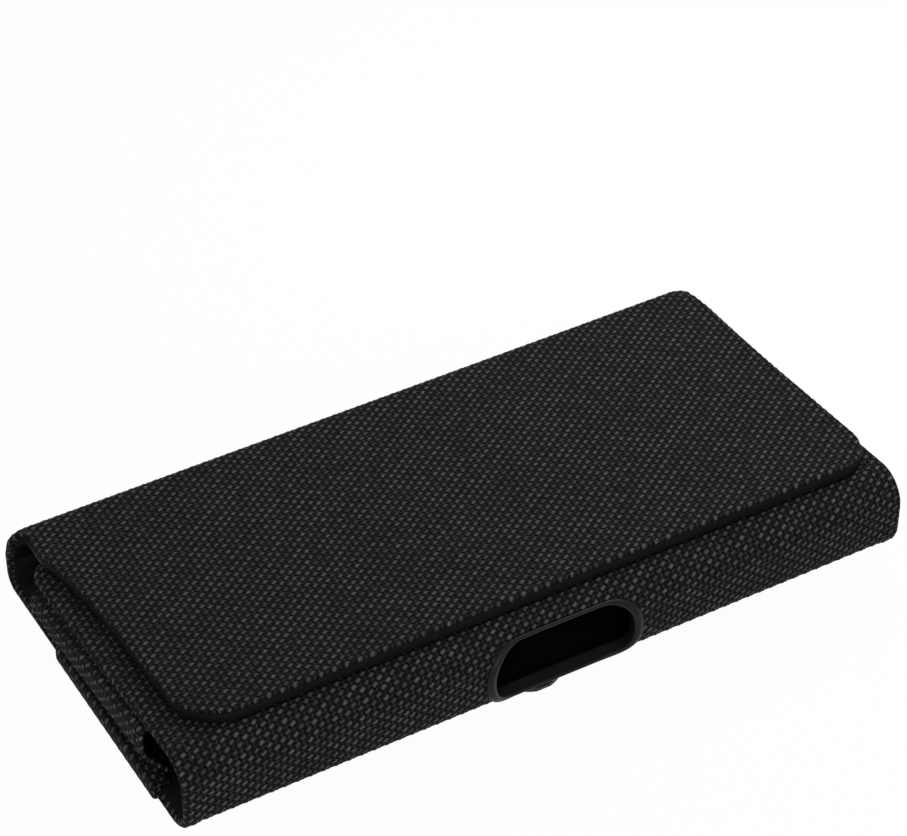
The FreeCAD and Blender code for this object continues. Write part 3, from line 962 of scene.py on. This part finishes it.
def flap_plate(side_of, end):
    """A plate with the flap's outline."""
    plate = flat_plate(Vector((-half_length, pocket_end)), Vector((half_length, end)))
    rows = [flare_start - flare_rise * share / 10 for share in range(11)]
    rows += [fold_over + step * mm for step in range(-5, 11)]
    cut_lines(plate, everything(plate), [], rows)
    for vert in plate.verts:
        cut = (taper_left, nip_left) if vert.co.x < 0 else (taper_right, nip_right)
        vert.co.x = math.copysign(side_of(vert.co.y, *cut), vert.co.x)
    for side, radius in ((-1, round_left), (1, round_right)):
        corner = [vert for vert in plate.verts
                  if vert.co.y > end - 10 * tiny and side * vert.co.x > half_length / 2]
        round_corners(plate, corner, radius, segments=10)
    return plate


print(f"free edge from {-flap_side(cloth_end, taper_left, 0) / mm:.1f} to "
      f"{flap_side(cloth_end, taper_right, 0) / mm:.1f} mm before its corners are rounded")

# %% [markdown]
# The flap's cloth
#
# The same cloth goes on over the spine and makes the flap's top. Spine and flap could be two pieces, but
# the cloth must stay whole when the flap opens. So it is one piece.

# %% Flap cloth
spare = 1 * mm

bm = flat_top(Vector((-sheet_half - spare, pocket_end)), Vector((sheet_half + spare, cloth_end)),
              cloth_threads / 2, cloth_skew)
thicken(bm, cover)
die_cut(bm, flap_plate(cloth_side, cloth_end - edge_proud), "INTERSECT")
refine_hems(bm)
cut_lines(bm, bottom_of(bm, -cover), [], round_rows(flap_runs, pocket_end, fold_step))
raise_top(bm, lambda point: cloth_yarn(point) + (1 - past_hem(point.y)) * hem_relief(point.x))
flap_cloth = finish_piece(bm, "flap_cloth", fold_flap, woven_nylon, cloth_skew)
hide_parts("flap_cover", "spine_cover")

# %% [markdown]
# The flap's facing
#
# The underside is smooth leathercloth, and it comes up round the board's edge: that is the dark band
# round the flap. The band could be a strip of its own, but on the real flap it is the facing itself. So
# one thick sheet stands for facing and board, and a bevel softens its turned edge. At the spine the
# sheet is thinner, because the lining there is.


# %% Flap facing, with its turned edge
edge_soft = 0.55 * mm
thin_share = (wall - cover) / (flap_wall - cover)


def fold_facing(point):
    """Folds the flap's facing, which is thinner at the spine."""
    share = smooth_step((point.y - pocket_end) / (fold_over - pocket_end))
    depth = -cover + (point.z + cover) * (thin_share + (1 - thin_share) * share)
    place = along(flap_runs, point.y - pocket_end, depth - corner_drop(point.x, point.y))
    return Vector((point.x, place.x, place.y))


def turned_edges(bm):
    """The edges round the outline of a slab, apart from its seam."""
    level = [edge for edge in bm.edges if abs(edge.verts[0].co.z - edge.verts[1].co.z) < tiny]
    sharp = [edge for edge in level if edge.calc_face_angle(0) > 1]
    return [edge for edge in sharp if max(vert.co.y for vert in edge.verts) > pocket_end + 10 * tiny]


bm = flap_plate(facing_side, cloth_end)
bmesh.ops.translate(bm, verts=bm.verts[:], vec=(0, 0, -cover))
thicken(bm, flap_wall - cover)
bmesh.ops.bevel(bm, geom=turned_edges(bm), offset=edge_soft, offset_type="OFFSET", affect="EDGES",
                segments=4, profile=0.5, material=-1)
cut_lines(bm, everything(bm), [], round_rows(flap_runs, pocket_end, fold_step))
flap_film = finish_piece(bm, "flap_film", fold_facing, leathercloth)
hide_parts("flap_facing", "flap_stiffener", "spine_lining", "spine_stiffener")

# %% [markdown]
# The slot's rim
#
# A smooth moulded ring lines the slot: a sleeve through the wall and a rounded flange on the cloth. A
# profile could be swept along the outline, but a sweep pinches in tight bends. So the slot's outline is
# extruded again and again, each time larger or smaller and higher or lower, and bridged back to where
# it began. The sleeve inside has the lining's finish.

# %% Slot rim
rim_proud = 0.8 * mm
flange_u = 2.4 * mm
flange_v = 1.0 * mm
rim_foot = -wall - 0.1 * mm
rim_profile = ((0.0, -0.4 * mm), (0.0, 0.2 * mm), (0.08, 0.5 * mm), (0.3, rim_proud), (0.6, rim_proud),
               (0.9, 0.4 * mm), (1.0, -0.1 * mm), (0.38, -0.35 * mm), (0.38, rim_foot))
slot_centre = Vector((slot_middle, 0.5 * (slot_top_row + slot_low_row), 0))
slot_rise = 0.5 * (slot_low_row - slot_top_row)

bm = slot_plate(0)
bmesh.ops.delete(bm, geom=bm.faces[:], context="FACES_ONLY")
bmesh.ops.translate(bm, verts=bm.verts[:], vec=(0, 0, rim_foot))
first_ring = bm.edges[:]
ring = first_ring
last_share, last_height = 0.0, rim_foot
for share, height in rim_profile:
    grown = bmesh.ops.extrude_edge_only(bm, edges=ring)["geom"]
    verts = [item for item in grown if isinstance(item, bmesh.types.BMVert)]
    ring = [edge for edge in bm.edges if edge.verts[0] in verts and edge.verts[1] in verts]
    wider = (slot_half + share * flange_u) / (slot_half + last_share * flange_u)
    taller = (slot_rise + share * flange_v) / (slot_rise + last_share * flange_v)
    bmesh.ops.scale(bm, verts=verts, vec=(wider, taller, 1), space=Matrix.Translation(-slot_centre))
    bmesh.ops.translate(bm, verts=verts, vec=(0, 0, height - last_height))
    last_share, last_height = share, height
bmesh.ops.bridge_loops(bm, edges=first_ring + ring)
for face in bm.faces:
    if face.calc_center_median().z < 0:
        face.material_index = 1
slot_rim = finish_piece(bm, "slot_rim_moulding", fold_lining, moulded_edge)
slot_rim.data.materials.append(lining_film)
smooth = slot_rim.modifiers.new("soft", "SUBSURF")
smooth.levels = smooth.render_levels = 2
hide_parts("slot_rim")
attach(slot_rim, "pocket")

# %% [markdown]
# Straps and strips
#
# Everything else that is sewn on is a strip whose side edges are turned under. Each could be modelled
# for itself, but they differ only in width, thread and path. So one function makes the flat strip and
# one raises its crowns, and each piece brings a path of its own.


# %% Strips with folded edges
strip_leg = 0.6 * mm
strip_skin = 0.35 * mm
strip_calm = 1 * mm
strip_cuts = 6
both_ends = ((-1, "left"), (1, "right"))


def strip_sheet(half_width, radius, end, step, skin):
    """A flat strip whose side edges will be turned under."""
    reach = half_width + (math.pi - 1) * radius + strip_leg
    bm = flat_top(Vector((-reach, 0)), Vector((reach, end)), step)
    thicken(bm, skin)
    turn = [half_width + radius * (math.pi * index / strip_cuts - 1) for index in range(strip_cuts + 1)]
    cut_lines(bm, everything(bm), [-column for column in turn] + turn, [])
    return bm


def raise_strip(bm, threads, height, half_width):
    """Lifts the crowns of a strip, less where its edges are turned."""
    raise_top(bm, lambda point: crowns(point, threads, height) * edge_calm(point.x, half_width, strip_calm))


# %% [markdown]
# Side tabs
#
# A tab of doubled cloth closes the middle of each end. It rises from the back, bows outwards and runs in
# under the front panel. A flat plate would look like card, so the tab follows a path with three bends,
# and swells a little more towards the spine, as sewn tabs do after some use. Its crowns are half as
# high as the cover's, because the cloth is stretched.

# %% Path of the side tabs
tab_near = bottom_y + 16.5 * mm
tab_far = bottom_y + 68.5 * mm
tab_thickness = 1 * mm
tab_half = 0.5 * (tab_far - tab_near)
tab_middle = 0.5 * (tab_far + tab_near)
tab_foot = Vector((half_length - 4.2 * mm, back_z + wall + tab_thickness / 2))
tab_lower_leg = 8 * mm
tab_upper_end = half_length - 9 * mm
tab_knee = 6 * mm
tab_step = 0.5 * mm
tab_rounds = [1.8 * mm, 4 * mm, 1.4 * mm]
tab_crown = 0.5 * cloth_crown
tab_bulge = 1.6 * mm
tab_swell = {-1: 0.6 * mm, 1: 0.3 * mm}
bulge_x = half_length + tab_bulge - tab_thickness / 2


def tab_top(y):
    """Height of the tab's upper leg, under the front panel."""
    return front_z(y) - (2 * turn_in + tab_thickness / 2) / math.cos(tilt)


tab_runs = folded_path(
    [tab_foot - Vector((tab_lower_leg, 0)), tab_foot, Vector((bulge_x, tab_foot.y + tab_knee)),
     Vector((bulge_x, tab_top(tab_middle))), Vector((tab_upper_end, tab_top(tab_middle)))],
    tab_rounds)
print(f"a tab takes {path_length(tab_runs) / mm:.1f} mm of cloth")


# %% Side tabs
def fold_tab(side):
    """The fold of one side's tab."""
    def fold(point):
        across, rise = hemmed(point.x, point.z, tab_half, tab_thickness / 2)
        place = along(tab_runs, point.y, rise + tab_thickness / 2)
        y = tab_middle + across
        stretch = (tab_top(y) - tab_foot.y) / (tab_top(tab_middle) - tab_foot.y)
        outward = max(place.x - tab_foot.x, 0) / (bulge_x - tab_foot.x)
        swell = tab_swell[side] * outward * smooth_step(0.5 + 0.5 * across / tab_half)
        return Vector((side * (place.x + swell), y, tab_foot.y + (place.y - tab_foot.y) * stretch))
    return fold


for side, name in both_ends:
    bm = strip_sheet(tab_half, tab_thickness / 2, path_length(tab_runs), cloth_threads / 2, strip_skin)
    cut_lines(bm, everything(bm), [], round_rows(tab_runs, 0, tab_step))
    raise_strip(bm, cloth_threads, tab_crown, tab_half)
    tab = finish_piece(bm, "side_tab_cloth_" + name, fold_tab(side), woven_nylon)
    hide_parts("side_tab_" + name)
    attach(tab, "pocket")

# %% [markdown]
# Bindings
#
# The ends of the back are bound with a narrow strip of cloth that goes round the edge. A rounded box
# would have no threads across its edge, so the binding is folded like the tabs, round two tight corners
# and with lower crowns.

# %% Bindings of the back's ends
binding_near = bottom_y + 14 * mm
binding_far = bottom_y + 60 * mm
binding = 0.9 * mm
binding_round = 0.7 * mm
binding_crown = 0.3 * cloth_crown
inner_leg = 3 * mm
outer_leg = 4 * mm
binding_half = 0.5 * (binding_far - binding_near)
binding_middle = 0.5 * (binding_far + binding_near)
binding_x = half_length + binding / 2
binding_inside = back_z + wall + binding / 2
binding_outside = back_z - binding / 2
binding_runs = folded_path(
    [Vector((half_length - inner_leg, binding_inside)), Vector((binding_x, binding_inside)),
     Vector((binding_x, binding_outside)), Vector((half_length - outer_leg, binding_outside))],
    [binding_round, binding_round])
print(f"a binding takes {path_length(binding_runs) / mm:.1f} mm of cloth")


def fold_binding(side):
    """The fold of one side's binding, whose path runs the other way round."""
    def fold(point):
        across, rise = hemmed(point.x, point.z, binding_half, binding / 2)
        place = along(binding_runs, point.y, -rise - binding / 2)
        return Vector((side * place.x, binding_middle + across, place.y))
    return fold


for side, name in both_ends:
    bm = strip_sheet(binding_half, binding / 2, path_length(binding_runs), cloth_threads / 2, strip_skin)
    cut_lines(bm, everything(bm), [], round_rows(binding_runs, 0, turn_step))
    raise_strip(bm, cloth_threads, binding_crown, binding_half)
    strip = finish_piece(bm, "edge_binding_cloth_" + name, fold_binding(side), woven_nylon)
    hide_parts("edge_binding_" + name)
    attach(strip, "pocket")

# %% [markdown]
# Belt loops
#
# Two straps are sewn flat to the back at both ends and stand off it between, so that a belt runs through.
# They could keep the solid's plain shape, but woven edges and threads show as soon as the pouch is
# turned over. So each is a folded strip on a path with two gentle ramps.

# %% Belt loops
loop_low, loop_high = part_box("belt_loop_right")
loop_thickness = 1.5 * mm
loop_skin = 0.5 * mm
loop_half = 0.5 * (loop_high.x - loop_low.x)
loop_middle = 0.5 * (loop_high.x + loop_low.x)
sewn_z = back_z - loop_thickness / 2
raised_z = cad_low.z + loop_thickness / 2
sewn_length = 8 * mm
ramp_length = 5.5 * mm
ramp_round = 3 * mm
loop_corners = [(loop_low.y, sewn_z), (loop_low.y + sewn_length, sewn_z),
                (loop_low.y + sewn_length + ramp_length, raised_z),
                (loop_high.y - sewn_length - ramp_length, raised_z),
                (loop_high.y - sewn_length, sewn_z), (loop_high.y, sewn_z)]
loop_runs = folded_path([Vector(corner) for corner in loop_corners], [ramp_round] * 4)
print(f"a belt loop takes {path_length(loop_runs) / mm:.1f} mm of strap")


def fold_loop(side):
    """The fold of one side's belt loop."""
    def fold(point):
        across, rise = hemmed(point.x, point.z, loop_half, loop_thickness / 2)
        place = along(loop_runs, point.y, rise + loop_thickness / 2)
        return Vector((side * loop_middle + across, place.x, place.y))
    return fold


for side, name in both_ends:
    bm = strip_sheet(loop_half, loop_thickness / 2, path_length(loop_runs), strap_threads / 2, loop_skin)
    raise_strip(bm, strap_threads, strap_crown, loop_half)
    strap = finish_piece(bm, "belt_loop_strap_" + name, fold_loop(side), webbing)
    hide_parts("belt_loop_" + name)
    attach(strap, "pocket")

# %% [markdown]
# Stitches
#
# A lockstitch shows as a row of short threads, each sunk a little at both ends. A bent tube for each
# would cost many faces. So one stitch is a sphere with few faces, drawn out along the seam, and a row of
# them is laid on the flat sheet and folded with the same function as the cloth, so that it follows every
# turn.

# %% Rows of stitches
stitch_pitch = 3 * mm
stitch_length = 2.5 * mm
thread_width = 0.55 * mm
thread_squash = 0.35


def sew(bm, start, end, height):
    """Lays a row of stitches on the flat sheet."""
    reach = end - start
    count = max(1, round(reach.length / stitch_pitch))
    lying = Matrix.Rotation(math.radians(90), 4, "Y")
    heading = Matrix.Rotation(math.atan2(reach.y, reach.x), 4, "Z") @ lying
    drawn = Matrix.Diagonal((thread_squash * thread_width, thread_width / 2, stitch_length / 2, 1))
    for index in range(count):
        middle = start + reach * ((index + 0.5) / count)
        place = Matrix.Translation((middle.x, middle.y, height))
        bmesh.ops.create_uvsphere(bm, u_segments=6, v_segments=4, radius=1, matrix=place @ heading @ drawn)


# %% Seams of the end hems
in_groove = -0.02 * mm
front_start = panel_start + 1.2 * mm
seam_end = fold_over + 2 * mm

bm = bmesh.new()
for side in (-1, 1):
    sew(bm, Vector((side * seam_x, front_start)), Vector((side * seam_x, pocket_end)), in_groove)
pocket_seams = finish_piece(bm, "pocket_hem_stitches", fold_pocket, sewing_thread)

bm = bmesh.new()
for side in (-1, 1):
    sew(bm, Vector((side * seam_x, pocket_end)), Vector((side * seam_x, seam_end)), in_groove)
flap_seams = finish_piece(bm, "spine_hem_stitches", fold_flap, sewing_thread)

# %% [markdown]
# Seams that carry the strips
#
# A tab is sewn along both turned edges and a binding with one row. A belt loop is held at each end by a
# box with a cross in it, the seam that spreads a pull best. The rows could be drawn as lines in the
# shader, but they must stand on the cloth when light grazes it, so they are stitches too.

# %% Seams of tabs, bindings and belt loops
on_cloth = 0.12 * mm
on_seam = 1.6 * on_cloth
tab_column = tab_half - 2.6 * mm
tab_seam_end = path_length(tab_runs) - 2 * mm
binding_row = path_length(binding_runs) - 1.6 * mm
binding_reach = binding_half - 1.5 * mm
box_start = 1.6 * mm
box_end = sewn_length - 0.6 * mm
box_half = loop_half - 2 * mm


def sew_tab(bm):
    """Two rows along the turned edges of a tab."""
    for column in (-tab_column, tab_column):
        sew(bm, Vector((column, tab_lower_leg)), Vector((column, tab_seam_end)), on_cloth)


def sew_binding(bm):
    """One row along the outside of a binding."""
    sew(bm, Vector((-binding_reach, binding_row)), Vector((binding_reach, binding_row)), on_cloth)


def sew_loop(bm):
    """A box with a cross at each end of a belt loop."""
    length = path_length(loop_runs)
    for near, far in ((box_start, box_end), (length - box_end, length - box_start)):
        corners = [Vector((-box_half, near)), Vector((box_half, near)),
                   Vector((box_half, far)), Vector((-box_half, far))]
        for place, corner in enumerate(corners):
            sew(bm, corner, corners[(place + 1) % 4], on_cloth)
        sew(bm, corners[0], corners[2], on_seam)
        sew(bm, corners[1], corners[3], on_seam)


print("stitches across a belt loop's box:", round(2 * box_half / stitch_pitch))


# %% Sewing both sides
strip_seams = (("side_tab", sew_tab, fold_tab, "woven_nylon"),
               ("edge_binding", sew_binding, fold_binding, "woven_nylon"),
               ("belt_loop", sew_loop, fold_loop, "belt_webbing"))
for side, name in both_ends:
    for strip_name, sew_rows, fold_of, slot in strip_seams:
        bm = bmesh.new()
        sew_rows(bm)
        seams = finish_piece(bm, f"{strip_name}_stitches_{name}", fold_of(side), sewing_thread)
        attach(seams, "pocket")

# %% [markdown]
# The hard parts
#
# Clip, rivets, plates and magnets have their true shape already. They could be modelled again, but a
# finish is all they lack. The clip's edges were tumbled: a Weld and a narrow Bevel break them, and leave
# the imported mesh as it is.

# %% Finishes of the carried-over nodes
node_finishes = {
    "belt_clip": black_steel, "clip_rivet_lower": nickel, "clip_rivet_upper": nickel,
    "clip_backing_plate": nickel, "catch_plate_left": nickel, "catch_plate_right": nickel,
    "flap_magnet_left": nickel, "flap_magnet_right": nickel,
}
for name, material in node_finishes.items():
    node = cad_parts[name]
    node.data.materials.clear()
    node.data.materials.append(material)

for name in ("belt_clip", "clip_rivet_lower", "clip_rivet_upper"):
    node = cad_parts[name]
    weld = node.modifiers.new("weld", "WELD")
    weld.merge_threshold = 10 * tiny
    edge = node.modifiers.new("tumbled_edge", "BEVEL")
    edge.width = 0.15 * mm
    edge.segments = 2
    edge.limit_method = "ANGLE"
    edge.angle_limit = math.radians(35)
print("nodes with a finish:", len(node_finishes))

# %% [markdown]
# The camera
#
# The photograph looks down on the pouch from the front left, from about arm's length. The camera could
# be set by eye, but its direction, distance and lens were fitted until the solids' outline lay on the
# photograph's to within a pixel. It looks along one line at one point, so two angles and a distance say
# it all.

# %% Camera, placed as the photograph was taken
azimuth, elevation = -0.521057, 0.702564
target = Vector((7.33457, 13.60431, 35.35477)) * mm
distance = 713.9436 * mm

camera_data = bpy.data.cameras.new("camera")
camera_data.sensor_width = 36
camera_data.lens = 133.566
camera_data.clip_start = 0.01
camera_data.clip_end = 20
camera = bpy.data.objects.new("camera", camera_data)
bpy.context.scene.collection.objects.link(camera)
bpy.context.scene.camera = camera
back_way = Vector((math.sin(azimuth) * math.cos(elevation), -math.cos(azimuth) * math.cos(elevation),
                   math.sin(elevation)))
camera.location = target + back_way * distance
camera.rotation_mode = "QUATERNION"
camera.rotation_quaternion = (-back_way).to_track_quat("-Z", "Y")
print("the camera looks down by", round(math.degrees(elevation), 1), "degrees")

# %% [markdown]
# Floor and world
#
# The photograph has a plain white ground. A floor that is only bright would be lit unevenly, and one
# that only glows would lose the pouch's shadow. So the floor is a large sheet that cameras and mirrors
# see as white, mixed with a little of its own shading. The world is white too where it is seen, and
# lights the pouch with less than half of that.


# %% Rays that see
def seen_directly(tree):
    """1 for rays from the camera, a mirror or through glass, and 0 for those that only carry light."""
    rays = add(tree, "ShaderNodeLightPath", {})
    seen = rays.outputs["Is Camera Ray"]
    for kind in ("Is Glossy Ray", "Is Transmission Ray"):
        seen = add(tree, "ShaderNodeMath", {0: seen, 1: rays.outputs[kind]}, operation="MAXIMUM")
    return seen


# %% Floor
white_share = 0.97
floor_half = 3000 * mm
floor_drop = 0.1 * mm

bm = bmesh.new()
bmesh.ops.create_grid(bm, x_segments=1, y_segments=1, size=floor_half)
bmesh.ops.translate(bm, verts=bm.verts[:], vec=(0, 0, -floor_drop))
floor = mesh_object(bm, "floor")
bm.free()

paper = bpy.data.materials.new("paper_floor")
paper.use_nodes = True
tree = paper.node_tree
tree.nodes.clear()
share = add(tree, "ShaderNodeMath", {0: seen_directly(tree), 1: white_share}, operation="MULTIPLY")
shaded = add(tree, "ShaderNodeBsdfDiffuse", {"Color": linear("#f2f2f2")})
bright = add(tree, "ShaderNodeEmission", {"Color": (1, 1, 1, 1), "Strength": 1.0})
mixed = add(tree, "ShaderNodeMixShader", {0: share, 1: shaded, 2: bright})
add(tree, "ShaderNodeOutputMaterial", {"Surface": mixed})
floor.data.materials.append(paper)
print("the floor is", len(floor.data.polygons), "face")

# %% World
world_light = 0.44

world = bpy.data.worlds.new("studio")
bpy.context.scene.world = world
world.use_nodes = True
tree = world.node_tree
level = add(tree, "ShaderNodeMapRange", {"Value": seen_directly(tree), "To Min": world_light, "To Max": 1.0})
background = tree.nodes["Background"]
background.inputs["Color"].default_value = (1, 1, 1, 1)
tree.links.new(level.outputs[0], background.inputs["Strength"])
bpy.context.scene.view_settings.view_transform = "Standard"

# %% [markdown]
# Lamps
#
# The rest of the light comes from two soft lamps: a small one high on the right, which gives the flap
# its slow fall of tone, and a large one low at the front left, which opens up the bottom wall. One sun
# could do it, but its shadows would be hard, and the photograph's are soft.


# %% Two soft lamps
def soft_lamp(name, place, size, power):
    """A square lamp that looks at the part."""
    data = bpy.data.lights.new(name, "AREA")
    data.size = size
    data.energy = power
    lamp = bpy.data.objects.new(name, data)
    lamp.location = place
    lamp.rotation_mode = "QUATERNION"
    lamp.rotation_quaternion = (-Vector(place)).to_track_quat("-Z", "Y")
    bpy.context.scene.collection.objects.link(lamp)


soft_lamp("key", (0.18, 0.08, 0.28), 0.2, 0.58)
soft_lamp("front", (-0.25, -0.72, 0.3), 0.5, 2.8)
print("lamps:", len(bpy.data.lights))

# %% [markdown]
# Cloth across the folds
#
# When the flap opens, the cloth bends where pocket and spine meet, and again where spine and flap do. It
# could be cut there and ride on each body, but real cloth has no gap. So each sheet stays whole, and its
# place is only baked into its mesh.

# %% Sheets baked in place
for cloth in (pocket_cloth, pocket_film, pocket_seams):
    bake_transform(cloth)

for cloth in (flap_cloth, flap_film, flap_seams):
    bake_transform(cloth)
